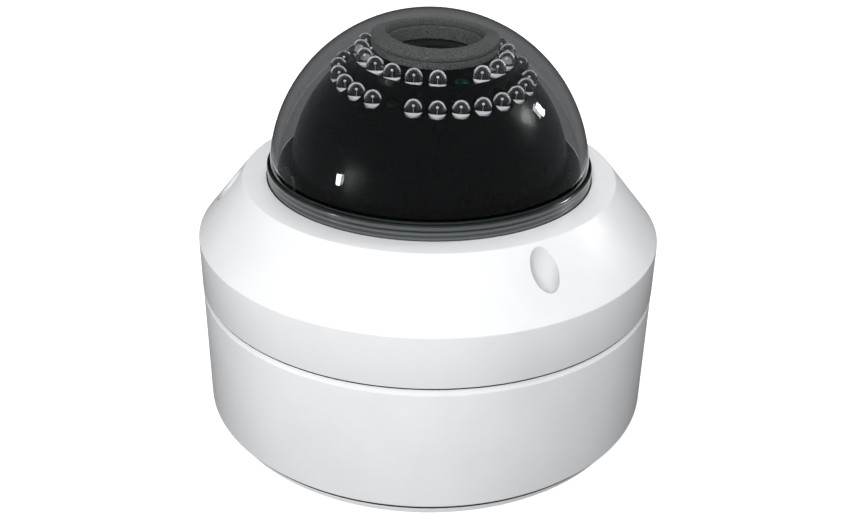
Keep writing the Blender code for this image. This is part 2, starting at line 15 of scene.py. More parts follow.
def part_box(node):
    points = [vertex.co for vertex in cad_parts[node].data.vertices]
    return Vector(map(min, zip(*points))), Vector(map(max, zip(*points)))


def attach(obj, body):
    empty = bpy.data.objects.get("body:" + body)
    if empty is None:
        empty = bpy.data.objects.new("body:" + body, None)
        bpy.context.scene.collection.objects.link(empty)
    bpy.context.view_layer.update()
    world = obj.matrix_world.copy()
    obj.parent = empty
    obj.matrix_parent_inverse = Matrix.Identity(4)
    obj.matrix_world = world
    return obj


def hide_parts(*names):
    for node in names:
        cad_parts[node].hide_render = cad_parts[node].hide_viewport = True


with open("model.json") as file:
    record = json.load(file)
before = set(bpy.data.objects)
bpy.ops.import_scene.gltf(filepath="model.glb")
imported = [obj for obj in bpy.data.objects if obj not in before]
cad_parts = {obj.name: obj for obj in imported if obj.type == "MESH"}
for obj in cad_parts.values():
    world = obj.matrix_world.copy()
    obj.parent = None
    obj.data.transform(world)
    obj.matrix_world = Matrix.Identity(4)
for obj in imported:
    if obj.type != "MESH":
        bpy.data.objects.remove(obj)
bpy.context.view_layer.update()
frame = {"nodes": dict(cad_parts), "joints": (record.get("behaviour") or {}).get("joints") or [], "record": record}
MM = 0.001
JOINTS = {joint["name"]: joint for joint in frame["joints"]}
SLOT_OF = {part["node"]: part["material_slot"] for part in frame["record"]["subparts"]}
BODY_OF = {node: body for body, nodes in frame["record"]["behaviour"]["bodies"].items() for node in nodes}

# ---- Sizes, read off the CAD where it has them ------------------------------------------------


def top(node):
    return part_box(node)[1].z / MM


def bottom(node):
    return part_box(node)[0].z / MM


def reach(node):
    """The node's largest radius, for a piece turned about the dome's axis."""
    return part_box(node)[1].x / MM


GAP = 0.3
BODY_R, SKIRT_R = reach("base_housing"), reach("dome_cover")
BASE_Z0, RIM_Z = bottom("base_housing"), top("base_housing")
COVER_Z0, TOP_Z = bottom("dome_cover"), top("dome_cover")
PLATE_R, PLATE_T = reach("mount_plate"), top("mount_plate")
WALL = 3.2
FLOOR_Z = BASE_Z0 + WALL
EDGE = 0.25  # rounding of the housing's and the cover's corners
CABLE_HOLE_R, CONDUIT_R = 14, 10.5
GROOVE_IN, GROOVE_OUT, GROOVE_DEPTH = 69.8, 72.2, 1.6  # seal groove in the housing's rim
SHOULDER_Z, TOP_R, OPENING_R = 63.3, 59.6, 52.0
DOME_Z = JOINTS["tilt"]["pos_m"][2] / MM
DOME_R = top("dome_bubble") - DOME_Z
DOME_IN = DOME_R - 2.5
COLLAR_R, COLLAR_Z = 51.7, 86.0
FLANGE_Z, FLANGE_R = bottom("dome_bubble"), reach("dome_bubble")
FLANGE_TOP = FLANGE_Z + 2.6
BALL_R, BALL_IN = 44.4, 42.2
BALL_FOOT, CROWN_Z, CROWN_R = -30, 29.4, 25.3
RIM_R, DECK_Z, RING_Z = 24.9, 37.4, 38.3
DECK_T, HUB_BORE = 1.8, 14.8
HUB_R, HUB_Z, FOAM_R, FOAM_BORE = 18.7, 40.7, 18.9, 14.3
LED_R, INNER_RING_R, OUTER_RING_R = 2.5, 21.8, 28.8
INNER_LED_Z, OUTER_LED_Z = 39.6, 33.5
GROUP_GAP_AZ, OUTER_PITCH, PHOTOCELL_AZ = (-24.0, 96.0, 216.0), 13.5, 20.5
SCREW_AZ, SCREW_R, WELL_R, WELL_FLOOR = (30.5, 150.5, 270.5), 64.8, 4.35, 57.0
WALL_SCREW_AZ, WALL_SCREW_R, WALL_SCREW_HOLE_R = (20.0, 140.0, 260.0), 54.0, 2.6
POST_AZ, POST_RING_R, POST_TOP = (60, 180, 300), 46, FLOOR_Z + 17.8
PEG_AZ, PEG_RING_R, PEG_TOP = (100, 220, 340), 30, FLOOR_Z + 5.4
SHROUD_SCREW_SEAT, SHROUD_SCREW_HOLE_R = 32.7, 1.1
CONDUIT_Z = (top("conduit_plug") + bottom("conduit_plug")) / 2

TILT_AXIS = Vector(JOINTS["tilt"]["axis"]).normalized()
LENS_AXIS = Vector(JOINTS["lens_rotate"]["axis"]).normalized()
ACROSS = LENS_AXIS.cross(TILT_AXIS)
LENS_TURN = Matrix((TILT_AXIS, ACROSS, LENS_AXIS)).transposed().to_4x4()
LENS = Matrix.Translation((0, 0, DOME_Z * MM)) @ LENS_TURN  # from the lens's axes to the camera's
PAN_REST = 20.0
OUT_OF_BACK = Matrix.Translation((0, 0, CONDUIT_Z * MM)) @ Matrix.Rotation(-pi / 2, 4, "X")

# ---- Camera, lights and floor -----------------------------------------------------------------


def camera():
    """Looks down on the front of the camera from about 27 degrees."""
    elevation, distance, roll = radians(27.53), 0.370, radians(0.97)
    target = Vector((0, 0, 0.0485))
    away = Vector((0, -cos(elevation), sin(elevation)))
    data = bpy.data.cameras.new("view")
    data.sensor_width = 36
    data.lens = 46.42
    data.shift_x = -0.0014
    data.clip_start = 0.01
    made = bpy.data.objects.new("view", data)
    look = away.to_track_quat("Z", "Y").to_matrix().to_4x4()
    made.matrix_world = Matrix.Translation(target + away * distance) @ look @ Matrix.Rotation(roll, 4, "Z")
    bpy.context.scene.collection.objects.link(made)
    bpy.context.scene.camera = made


def lamp(name, azimuth, elevation, distance, size, power, glossy=True):
    """An area light aimed at the middle of the camera."""
    data = bpy.data.lights.new(name, "AREA")
    data.shape = "RECTANGLE"
    data.size, data.size_y = size
    data.energy = power
    made = bpy.data.objects.new(name, data)
    a, e = radians(azimuth), radians(elevation)
    away = Vector((sin(a) * cos(e), -cos(a) * cos(e), sin(e)))
    turn = away.to_track_quat("Z", "Y").to_matrix().to_4x4()
    middle = Vector((0, 0, 0.07))
    made.matrix_world = Matrix.Translation(middle + away * distance) @ turn
    made.visible_glossy = made.visible_transmission = glossy
    bpy.context.scene.collection.objects.link(made)


def studio():
    """Soft lamps in a dim world. Only the two windows show as reflections."""
    world = bpy.data.worlds.new("studio")
    world.use_nodes = True
    background = world.node_tree.nodes["Background"]
    background.inputs["Color"].default_value = (0.75, 0.77, 0.8, 1)
    background.inputs["Strength"].default_value = 0.26
    world.cycles_visibility.glossy = False
    bpy.context.scene.world = world
    bpy.context.scene.view_settings.view_transform = "Standard"
    lamp("key", -9, 31, 1.1, (0.4, 0.35), 9.3, glossy=False)
    lamp("overhead", 0, 72, 1.2, (0.8, 0.8), 4.4, glossy=False)
    lamp("back_fill", 180, 32, 1.2, (0.6, 0.5), 3.2, glossy=False)
    lamp("window_right", 107, 25, 0.9, (0.07, 0.10), 1.6)
    lamp("window_left", -63, 4, 0.9, (0.05, 0.10), 1.0)
    floor_sheet()


def floor_sheet():
    mesh = bpy.data.meshes.new("floor")
    half, height = 6.0, -0.0002
    corners = [(-half, -half), (half, -half), (half, half), (-half, half)]
    mesh.from_pydata([(x, y, height) for x, y in corners], [], [(0, 1, 2, 3)])
    floor = bpy.data.objects.new("floor", mesh)
    floor_finish, shader, _ = new_material("floor_paper", (0.93, 0.93, 0.93), 0.9)
    shader.inputs["Emission Color"].default_value = (1, 1, 1, 1)
    shader.inputs["Emission Strength"].default_value = 0.55
    shader.inputs["Specular IOR Level"].default_value = 0.1
    mesh.materials.append(floor_finish)
    bpy.context.scene.collection.objects.link(floor)
    floor.visible_diffuse = False  # a white sweep would otherwise flood the housing's sides
    floor.visible_glossy = floor.visible_transmission = False  # or light the black eyeball


# ---- Materials --------------------------------------------------------------------------------


def new_material(name, colour, roughness, metallic=0.0, transmission=0.0, ior=1.5, coat=0.0):
    made = bpy.data.materials.new(name)
    made.use_nodes = True
    tree = made.node_tree
    shader = tree.nodes["Principled BSDF"]
    shader.inputs["Base Color"].default_value = (*colour, 1)
    shader.inputs["Roughness"].default_value = roughness
    shader.inputs["Metallic"].default_value = metallic
    shader.inputs["Transmission Weight"].default_value = transmission
    shader.inputs["IOR"].default_value = ior
    shader.inputs["Coat Weight"].default_value = coat
    return made, shader, tree


def pattern(tree, scale, detail=4.0, stretch=(1, 1, 1), roughness=0.55):
    """A noise texture's value, in the piece's own coordinates. scale is in cycles per metre."""
    place = tree.nodes.new("ShaderNodeTexCoord")
    mapping = tree.nodes.new("ShaderNodeMapping")
    mapping.inputs["Scale"].default_value = stretch
    made = tree.nodes.new("ShaderNodeTexNoise")
    made.inputs["Scale"].default_value = scale
    made.inputs["Detail"].default_value = detail
    made.inputs["Roughness"].default_value = roughness
    tree.links.new(place.outputs["Object"], mapping.inputs["Vector"])
    tree.links.new(mapping.outputs["Vector"], made.inputs["Vector"])
    return made.outputs["Fac"]


def blended(tree, value, low, high, start=0.35, end=0.65):
    """A colour that runs from low to high as the value does."""
    ramp = tree.nodes.new("ShaderNodeValToRGB")
    ramp.color_ramp.elements[0].position = start
    ramp.color_ramp.elements[1].position = end
    ramp.color_ramp.elements[0].color = (*low, 1)
    ramp.color_ramp.elements[1].color = (*high, 1)
    tree.links.new(value, ramp.inputs["Fac"])
    return ramp.outputs["Color"]


def ranged(tree, value, low, high, start=0.3, end=0.7):
    """A number that runs from low to high as the value goes from start to end."""
    made = tree.nodes.new("ShaderNodeMapRange")
    made.inputs["From Min"].default_value = start
    made.inputs["From Max"].default_value = end
    made.inputs["To Min"].default_value = low
    made.inputs["To Max"].default_value = high
    tree.links.new(value, made.inputs["Value"])
    return made.outputs["Result"]


def bumped(tree, shader, value, height):
    """Relief of the given height in metres."""
    made = tree.nodes.new("ShaderNodeBump")
    made.inputs["Strength"].default_value = 1.0
    made.inputs["Distance"].default_value = height
    tree.links.new(value, made.inputs["Height"])
    tree.links.new(made.outputs["Normal"], shader.inputs["Normal"])


def surface(name, low, high, rough, metallic=0.0, grain=(40, 900), relief=0.00003,
            stretch=(1, 1, 1), **more):
    """An opaque finish: its colour varies slowly, its roughness and relief finely."""
    made, shader, tree = new_material(name, high, rough[0], metallic, **more)
    slow = pattern(tree, grain[0])
    fine = pattern(tree, grain[1], stretch=stretch)
    tree.links.new(blended(tree, slow, low, high), shader.inputs["Base Color"])
    tree.links.new(ranged(tree, fine, rough[0], rough[1]), shader.inputs["Roughness"])
    bumped(tree, shader, fine, relief)
    return made


def clear(name, tint, roughness, ior, scratch):
    """A clear plastic or glass that lets lamps light what is behind it."""
    made, shader, tree = new_material(name, tint, roughness, transmission=1.0, ior=ior)
    fine = pattern(tree, 260, detail=6, stretch=(1, 1, 7))
    tree.links.new(ranged(tree, fine, 0.0, scratch, 0.55, 0.8), shader.inputs["Roughness"])
    paler = [min(1.0, c * 1.03) for c in tint]
    tree.links.new(blended(tree, pattern(tree, 60), tint, paler), shader.inputs["Base Color"])
    path = tree.nodes.new("ShaderNodeLightPath")
    through = tree.nodes.new("ShaderNodeBsdfTransparent")
    through.inputs["Color"].default_value = (0.94, 0.95, 0.95, 1)
    mix = tree.nodes.new("ShaderNodeMixShader")
    tree.links.new(path.outputs["Is Shadow Ray"], mix.inputs["Fac"])
    tree.links.new(shader.outputs["BSDF"], mix.inputs[1])
    tree.links.new(through.outputs["BSDF"], mix.inputs[2])
    tree.links.new(mix.outputs["Shader"], tree.nodes["Material Output"].inputs["Surface"])
    return made


def collared(made, height):
    """Gives the clear dome a darker moulded collar up to a height. Fine lighter and darker rings are painted into
    its colour, with a matching bump: painted reflections of the lines that the collar's step edges and the black
    seal beneath make through the clear plastic.
    """
    tree = made.node_tree
    output = tree.nodes["Material Output"]
    dome_shader = output.inputs["Surface"].links[0].from_socket
    band = tree.nodes.new("ShaderNodeBsdfPrincipled")
    band.inputs["Roughness"].default_value = 0.16
    band.inputs["IOR"].default_value = 1.75
    place = tree.nodes.new("ShaderNodeTexCoord")
    split = tree.nodes.new("ShaderNodeSeparateXYZ")
    tree.links.new(place.outputs["Object"], split.inputs["Vector"])
    lines = tree.nodes.new("ShaderNodeTexWave")
    lines.bands_direction = "Z"
    lines.inputs["Scale"].default_value = 190
    lines.inputs["Distortion"].default_value = 0.4
    tree.links.new(place.outputs["Object"], lines.inputs["Vector"])
    # Painted reflection: the wave bands make lighter and darker rings round the collar, in place of the lines its
    # step edges reflect.
    colour = blended(tree, lines.outputs["Fac"], (0.022, 0.026, 0.026), (0.085, 0.095, 0.095), 0.2, 0.8)
    tree.links.new(colour, band.inputs["Base Color"])
    bumped(tree, band, lines.outputs["Fac"], 0.00004)
    below = tree.nodes.new("ShaderNodeMath")
    below.operation = "LESS_THAN"
    below.inputs[1].default_value = height
    tree.links.new(split.outputs["Z"], below.inputs[0])
    mix = tree.nodes.new("ShaderNodeMixShader")
    tree.links.new(below.outputs["Value"], mix.inputs["Fac"])
    tree.links.new(dome_shader, mix.inputs[1])
    tree.links.new(band.outputs["BSDF"], mix.inputs[2])
    tree.links.new(mix.outputs["Shader"], output.inputs["Surface"])
    return made


def black_gloss():
    """The shroud's moulded plastic, with fine dust and hairline scratches."""
    made, shader, tree = new_material("shroud_plastic", (0.004, 0.0045, 0.005), 0.2)
    shader.inputs["Specular IOR Level"].default_value = 0.16
    dust = pattern(tree, 2600, detail=2)
    haze = pattern(tree, 70)
    speckled = blended(tree, dust, (0.0012, 0.0014, 0.0016), (0.05, 0.055, 0.06), 0.71, 0.8)
    tree.links.new(speckled, shader.inputs["Base Color"])
    tree.links.new(ranged(tree, haze, 0.16, 0.34), shader.inputs["Roughness"])
    scratch = pattern(tree, 500, detail=8, stretch=(1, 1, 9), roughness=0.75)
    bumped(tree, shader, scratch, 0.000012)
    return made


def foam_finish():
    made, shader, tree = new_material("foam_cells", (0.07, 0.075, 0.075), 0.97)
    cells = pattern(tree, 2400, detail=3, roughness=0.7)
    tree.links.new(blended(tree, cells, (0.03, 0.033, 0.032), (0.2, 0.205, 0.195), 0.3, 0.72),
                   shader.inputs["Base Color"])
    bumped(tree, shader, cells, 0.0003)
    shader.inputs["Specular IOR Level"].default_value = 0.15
    return made


def board_finish():
    made, shader, tree = new_material("board_mask", (0.02, 0.12, 0.06), 0.4, coat=0.3)
    place = tree.nodes.new("ShaderNodeTexCoord")
    tracks = tree.nodes.new("ShaderNodeTexBrick")
    tracks.inputs["Scale"].default_value = 320
    tracks.inputs["Color1"].default_value = (0.012, 0.10, 0.05, 1)
    tracks.inputs["Color2"].default_value = (0.02, 0.14, 0.07, 1)
    tracks.inputs["Mortar"].default_value = (0.06, 0.24, 0.12, 1)
    tracks.inputs["Mortar Size"].default_value = 0.03
    tree.links.new(place.outputs["Object"], tracks.inputs["Vector"])
    tree.links.new(tracks.outputs["Color"], shader.inputs["Base Color"])
    bumped(tree, shader, tracks.outputs["Fac"], 0.00003)
    return made


FINISHES = {
    "white_housing": surface("powder_coat", (0.80, 0.81, 0.815), (0.85, 0.86, 0.862), (0.30, 0.44),
                             grain=(30, 1400), relief=0.00002),
    "clear_dome": collared(clear("polycarbonate", (0.82, 0.835, 0.835), 0.0, 1.42, 0.05), COLLAR_Z * MM),
    "black_shroud": black_gloss(),
    "foam": foam_finish(),
    "black_rubber": surface("rubber", (0.012, 0.013, 0.014), (0.022, 0.023, 0.025), (0.45, 0.65)),
    "steel": surface("satin_steel", (0.5, 0.5, 0.5), (0.68, 0.68, 0.67), (0.22, 0.38), 1.0,
                     stretch=(1, 1, 12)),
    "dark_metal": surface("black_anodised", (0.012, 0.012, 0.013), (0.03, 0.03, 0.032), (0.32, 0.48), 0.6),
    "circuit_board": board_finish(),
    "lens_glass": surface("coated_lens", (0.008, 0.006, 0.02), (0.02, 0.008, 0.035), (0.01, 0.04),
                          relief=0.000001, coat=1.0),
    "sensor": surface("sensor_glass", (0.03, 0.05, 0.07), (0.06, 0.08, 0.10), (0.08, 0.14), coat=0.8),
    "connector": surface("nylon", (0.62, 0.61, 0.55), (0.72, 0.71, 0.65), (0.45, 0.6)),
    "photocell": clear("teal_cell", (0.12, 0.62, 0.62), 0.05, 1.45, 0.1),
}
LED_GLASS = clear("led_epoxy", (0.97, 0.98, 1.0), 0.0, 1.5, 0.03)
LED_CUP = surface("led_reflector", (0.7, 0.7, 0.72), (0.9, 0.9, 0.92), (0.15, 0.3), 0.1)

# ---- Mesh helpers -----------------------------------------------------------------------------


def place(azimuth, radius, height=0.0):
    """A point, in millimetres, at an azimuth about the dome's axis."""
    return Vector((radius * sin(radians(azimuth)), -radius * cos(radians(azimuth)), height))


def in_lens(azimuth, radius, height=0.0):
    """The same about the lens's axis, whose own front is turned by the pan."""
    return place(azimuth - PAN_REST, radius, height)


def rounded(profile, radius, steps=3):
    """The profile with its corners rounded. Points on the axis stay."""
    points = [Vector(p) for p in profile]
    found = []
    for i, corner in enumerate(points):
        before, after = points[i - 1], points[(i + 1) % len(points)]
        if corner.x < 1e-6:
            found.append(corner)
            continue
        cut = min(radius, (before - corner).length * 0.45, (after - corner).length * 0.45)
        start = corner + (before - corner).normalized() * cut
        end = corner + (after - corner).normalized() * cut
        for k in range(steps + 1):
            t = k / steps
            found.append(start * (1 - t) ** 2 + corner * (2 * t * (1 - t)) + end * t**2)
    return [(p.x, p.y) for p in found]


def arc(radius, z_from, z_to, steps, centre=0.0):
    """Points of a sphere's profile between two heights from its centre."""
    first, last = asin(z_from / radius), asin(z_to / radius)
    angles = [first + (last - first) * i / steps for i in range(steps + 1)]
    return [(radius * cos(a), centre + radius * sin(a)) for a in angles]


def lathe(profile, segments=144, matrix=None):
    """A closed profile of (radius, height) in millimetres, turned about Z."""
    made = bmesh.new()
    rings = []
    for k in range(segments):
        turn = 2 * pi * k / segments
        rings.append([made.verts.new((r * MM * cos(turn), r * MM * sin(turn), z * MM)) for r, z in profile])
    count = len(profile)
    for k in range(segments):
        here, there = rings[k], rings[(k + 1) % segments]
        for i in range(count):
            j = (i + 1) % count
            if max(profile[i][0], profile[j][0]) > 1e-6:
                made.faces.new((here[i], here[j], there[j], there[i]))
    bmesh.ops.remove_doubles(made, verts=made.verts, dist=1e-7)
    bmesh.ops.dissolve_degenerate(made, dist=1e-8, edges=made.edges)
    bmesh.ops.recalc_face_normals(made, faces=made.faces)
    if matrix is not None:
        bmesh.ops.transform(made, matrix=matrix, verts=made.verts)
    mesh = bpy.data.meshes.new("turned")
    made.to_mesh(mesh)
    made.free()
    return mesh


def copies(mesh, matrices):
    """Many copies of one mesh, as one mesh."""
    joined = bmesh.new()
    for matrix in matrices:
        first = len(joined.verts)
        joined.from_mesh(mesh)
        joined.verts.ensure_lookup_table()
        bmesh.ops.transform(joined, matrix=matrix, verts=joined.verts[first:])
    made = bpy.data.meshes.new("copies")
    joined.to_mesh(made)
    joined.free()
    return made


def rod(radius, z0, z1, segments=32):
    return lathe([(0, z1), (radius, z1), (radius, z0), (0, z0)], segments)


def rods(places, radius, z0, z1, matrix=Matrix.Identity(4), segments=32):
    """Upright rods at several places, as one mesh."""
    shape = rod(radius, z0, z1, segments)
    return copies(shape, [matrix @ Matrix.Translation(Vector(p) * MM) for p in places])


def combined(mesh, tools, operation="DIFFERENCE"):
    """The mesh after each tool is cut from it, or joined to it."""
    target = bpy.data.objects.new("target", mesh)
    bpy.context.scene.collection.objects.link(target)
    used = []
    for tool in tools:
        cutter = bpy.data.objects.new("cutter", tool)
        bpy.context.scene.collection.objects.link(cutter)
        modifier = target.modifiers.new("cut", "BOOLEAN")
        modifier.operation = operation
        modifier.object = cutter
        modifier.solver = "EXACT"
        used.append(cutter)
    bpy.context.view_layer.update()
    made = bpy.data.meshes.new_from_object(target.evaluated_get(bpy.context.evaluated_depsgraph_get()))
    for spent in (target, *used):
        bpy.data.objects.remove(spent)
    return made


def piece(name, mesh, slot, nodes=(), body=None, finish=None, sharp=32):
    """A visible piece that stands for its CAD nodes and moves with their body."""
    mesh.materials.clear()
    mesh.materials.append(finish or FINISHES[slot])
    for face in mesh.polygons:
        face.material_index = 0
    mesh.shade_smooth()
    mesh.set_sharp_from_angle(angle=radians(sharp))
    made = bpy.data.objects.new(name, mesh)
    bpy.context.scene.collection.objects.link(made)
    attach(made, body or BODY_OF[nodes[0]])
    if nodes:
        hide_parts(*nodes)
    return made


# ---- Housing and cover --------------------------------------------------------------------------


def mounting():
    """The foot plate, and the gasket between it and the housing."""
    plate = lathe(rounded([
        (CABLE_HOLE_R, PLATE_T), (PLATE_R, PLATE_T), (PLATE_R, 0), (CABLE_HOLE_R, 0),
    ], 0.6))
    screws = [place(az, WALL_SCREW_R) for az in WALL_SCREW_AZ]
    plate = combined(plate, [rods(screws, WALL_SCREW_HOLE_R, -1, PLATE_T + 1)])
    piece("mounting_plate", plate, "white_housing", ["mount_plate"])
    inner, outer = 62, 73
    low, high = PLATE_T + GAP, BASE_Z0 - GAP
    gasket = rounded([(inner, high), (outer, high), (outer, low), (inner, low)], 0.2)
    piece("mounting_gasket", lathe(gasket), "black_rubber", ["mount_gasket"])


def housing():
    """The round housing, with its bosses, posts and pegs, and the side entry at the back."""
    inner = BODY_R - WALL
    rim_in = inner - 2.6  # the rim is thicker than the wall
    groove_z = RIM_Z - GROOVE_DEPTH
    shell = lathe(rounded([
        (BODY_R - 1.0, RIM_Z), (BODY_R, RIM_Z - 1.8), (BODY_R, BASE_Z0 + 0.8), (BODY_R - 0.8, BASE_Z0),
        (CABLE_HOLE_R, BASE_Z0), (CABLE_HOLE_R, FLOOR_Z), (inner - 2, FLOOR_Z), (inner, FLOOR_Z + 2),
        (inner, RIM_Z - 9.8), (rim_in, RIM_Z - 6.3), (rim_in, RIM_Z), (GROOVE_IN, RIM_Z),
        (GROOVE_IN, groove_z), (GROOVE_OUT, groove_z), (GROOVE_OUT, RIM_Z),
    ], EDGE), 160)
    foot = FLOOR_Z - 1.5  # bosses start inside the floor
    cover_bosses = [place(az, SCREW_R) for az in SCREW_AZ]
    posts = [place(az, POST_RING_R) for az in POST_AZ]
    pegs = [place(az, PEG_RING_R) for az in PEG_AZ]
    screws = [place(az, WALL_SCREW_R) for az in WALL_SCREW_AZ]
    shell = combined(shell, [
        rods(cover_bosses, 4.8, foot, RIM_Z - 2.0), rods(posts, 3.6, foot, POST_TOP),
        rods(pegs, 2.4, foot, PEG_TOP),
    ], "UNION")
    cover_thread_r, post_thread_r = 2.2, 1.6
    shell = combined(shell, [
        rods(cover_bosses, cover_thread_r, 32, 50), rods(posts, post_thread_r, 17, 32),
        rods(screws, WALL_SCREW_HOLE_R, 0, 12),
        rods([(0, 0, 0)], CONDUIT_R, 60, 80, OUT_OF_BACK, 64),
    ])
    piece("housing_shell", shell, "white_housing", ["base_housing"])


def side_entry_plug():
    """The plug in the side entry, with a hexagon socket in its face."""
    radius = CONDUIT_R - 0.4
    face, back, socket_end = 73.3, 68, 70.5
    plug = rounded([(0, face), (radius, face), (radius, back), (0, back)], 0.5)
    socket = rods([(0, 0, 0)], 4.6, socket_end, 80, OUT_OF_BACK, 6)
    plug = combined(lathe(plug, 64, OUT_OF_BACK), [socket])
    piece("side_entry_plug", plug, "white_housing", ["conduit_plug"])


def rim_seal():
    """A cord in the rim's groove. Its thin lip reaches out to the housing's outer face, so the dark line between
    housing and cover is the seal's own black and also painted shade of the gap there.
    """
    cord_r, ring_r, steps = 0.9, 71.0, 16
    middle = RIM_Z - GROOVE_DEPTH + 0.2 + cord_r
    # Painted shade: the lip sits at the outer face so that its black shows as the gap's shadow line.
    lip_low, lip_high, lip_r = RIM_Z + 0.08, COVER_Z0 - 0.08, BODY_R - 0.25
    angles = [2 * pi * (i + 0.5) / steps - pi / 2 for i in range(steps)]
    section = [(ring_r + cord_r * cos(a), middle + cord_r * sin(a)) for a in angles]
    outer_half, inner_half = section[:steps // 2], section[steps // 2:]
    below_lip = [point for point in outer_half if point[1] < lip_low]
    lip = [(lip_r, lip_low), (lip_r, lip_high), (ring_r + 0.3, lip_high)]
    piece("rim_cord_seal", lathe([*below_lip, *lip, *inner_half]), "black_rubber", ["rim_seal"])


def cover():
    under, inner = TOP_Z - 3.0, SKIRT_R - 3.1
    foot_in, cone_in = 69.2, 58.2
    shell = lathe(rounded([
        (OPENING_R, TOP_Z), (TOP_R, TOP_Z), (SKIRT_R, SHOULDER_Z), (SKIRT_R, COVER_Z0), (foot_in, COVER_Z0),
        (foot_in, COVER_Z0 + 2.3), (inner, COVER_Z0 + 4.7), (inner, SHOULDER_Z - 1.0), (cone_in, under),
        (OPENING_R, under),
    ], EDGE), 192)
    inset = 0.8  # keeps the bosses inside the shell's outer face
    envelope = lathe([
        (0, TOP_Z - 1), (TOP_R - inset, TOP_Z - 1), (SKIRT_R - inset, SHOULDER_Z - 0.4),
        (SKIRT_R - inset, COVER_Z0 + GAP), (0, COVER_Z0 + GAP),
    ], 96)
    wells = [place(az, SCREW_R) for az in SCREW_AZ]
    bosses = combined(rods(wells, 6.0, COVER_Z0 - 1, TOP_Z + 2), [envelope], "INTERSECT")
    shell = combined(shell, [bosses], "UNION")
    shell = combined(shell, [rods(wells, WELL_R, WELL_FLOOR, 90, segments=48), rods(wells, 2.3, 40, 62)])
    piece("cover_shell", shell, "white_housing", ["dome_cover"])
    for i, spot in enumerate(wells, 1):
        captive_screw(i, spot)


def captive_screw(number, spot):
    seat, foot = WELL_FLOOR + GAP, 35
    top_z, head_r, shank_r = seat + 3.2, 3.7, 1.9
    screw = lathe(rounded([
        (0, top_z), (head_r, top_z), (head_r, seat), (shank_r, seat), (shank_r, foot), (0, foot),
    ], 0.5), 40, Matrix.Translation(spot * MM))
    screw = combined(screw, [rods([spot], 1.7, seat + 1.4, seat + 5, segments=6)])
    piece(f"captive_screw_{number}", screw, "steel", [f"cover_screw_{number}"])


def dome():
    """The clear hemisphere, its collar, and the flange that the retainer holds."""
    blend = 0.4  # the hemisphere runs this far above the collar's edge
    outside = arc(DOME_R, DOME_R - 1e-6, COLLAR_Z - DOME_Z + blend, 56, DOME_Z)
    inside = arc(DOME_IN, 0, DOME_IN - 1e-6, 56, DOME_Z)
    skirt = rounded([
        (outside[-1][0], outside[-1][1]), (COLLAR_R, COLLAR_Z - blend), (COLLAR_R, FLANGE_TOP),
        (FLANGE_R, FLANGE_TOP), (FLANGE_R, FLANGE_Z), (DOME_IN, FLANGE_Z),
    ], EDGE)[3:-3]
    profile = [(0, DOME_Z + DOME_R), *outside[1:], *skirt, (DOME_IN, FLANGE_Z), *inside[:-1],
               (0, DOME_Z + DOME_IN)]
    piece("clear_dome", lathe(profile, 192), "clear_dome", ["dome_bubble"], sharp=40)


def dome_seal():
    inner, low = COLLAR_R + GAP, FLANGE_TOP + GAP
    high = low + 1
    seal = rounded([(FLANGE_R, high), (FLANGE_R, low), (inner, low), (inner, high)], 0.15)
    piece("dome_seal", lathe(seal), "black_rubber", ["dome_gasket"])


def dome_liner():
    """The black wall inside the dome's foot, hung by a lip under the retainer."""
    low, high = bottom("inner_liner"), top("inner_liner")
    lip_top = bottom("dome_retainer") - GAP
    lip_foot = lip_top - 1.4
    inner, outer, lip_r = 48.3, 49.3, 53.0
    liner = rounded([
        (outer, high), (outer, lip_top), (lip_r, lip_top), (lip_r, lip_foot), (outer, lip_foot),
        (outer, low), (inner, low), (inner, high),
    ], 0.2)
    piece("dome_liner", lathe(liner), "black_shroud", ["inner_liner"])


# ---- Eyeball ------------------------------------------------------------------------------------


def outer_azimuths():
    """Three groups, each centred between two of the gaps that hold a screw."""
    per_group = 8
    steps = [i - (per_group - 1) / 2 for i in range(per_group)]
    return [gap + 60 + step * OUTER_PITCH for gap in GROUP_GAP_AZ for step in steps]


def inner_azimuths():
    """Every place of the inner ring but the photocell's."""
    places = 20
    return [PHOTOCELL_AZ + 360 / places * i for i in range(1, places)]


def eyeball():
    outside = arc(BALL_R, 36.6, BALL_FOOT, 40)
    inside = arc(BALL_IN, BALL_FOOT, CROWN_Z, 30)
    rim_in, under = RIM_R - 0.8, DECK_Z - DECK_T
    lip = rounded([(rim_in, DECK_Z), (rim_in, RING_Z), (RIM_R, RING_Z), (RIM_R, 37.0)], 0.3)[4:-4]
    profile = [(rim_in, DECK_Z), *lip, *outside, *inside, (CROWN_R, CROWN_Z), (CROWN_R, under),
               (HUB_BORE, under), (HUB_BORE, HUB_Z), (HUB_R, HUB_Z), (HUB_R, DECK_Z)]
    shell = lathe(profile, 160, LENS)
    outer = [in_lens(az, OUTER_RING_R) for az in outer_azimuths()]
    inner = [in_lens(az, INNER_RING_R) for az in (PHOTOCELL_AZ, *inner_azimuths())]
    screws = [in_lens(az, OUTER_RING_R) for az in GROUP_GAP_AZ]
    sideways = [LENS @ Matrix.Translation((side * 0.041, 0, 0)) @ Matrix.Rotation(pi / 2, 4, "Y")
                for side in (-1, 1)]
    shell = combined(shell, [
        rods(outer, 3.3, 31.4, 42, LENS, 28), rods(outer, LED_R + 0.2, 26, 33, LENS, 28),
        rods(inner, LED_R + 0.15, 33, 40.5, LENS, 28),
        rods(screws, 2.0, SHROUD_SCREW_SEAT - GAP, 42, LENS, 24),
        rods(screws, SHROUD_SCREW_HOLE_R, 26, 33, LENS, 20), copies(rod(3.4, -6, 6), sideways),
    ])
    piece("eyeball", shell, "black_shroud", ["eyeball_shroud"], sharp=30)
    for i, spot in enumerate(screws, 1):
        shroud_screw(i, spot)


def unit_cube():
    cube = bmesh.new()
    bmesh.ops.create_cube(cube, size=1)
    mesh = bpy.data.meshes.new("cube")
    cube.to_mesh(mesh)
    cube.free()
    return mesh


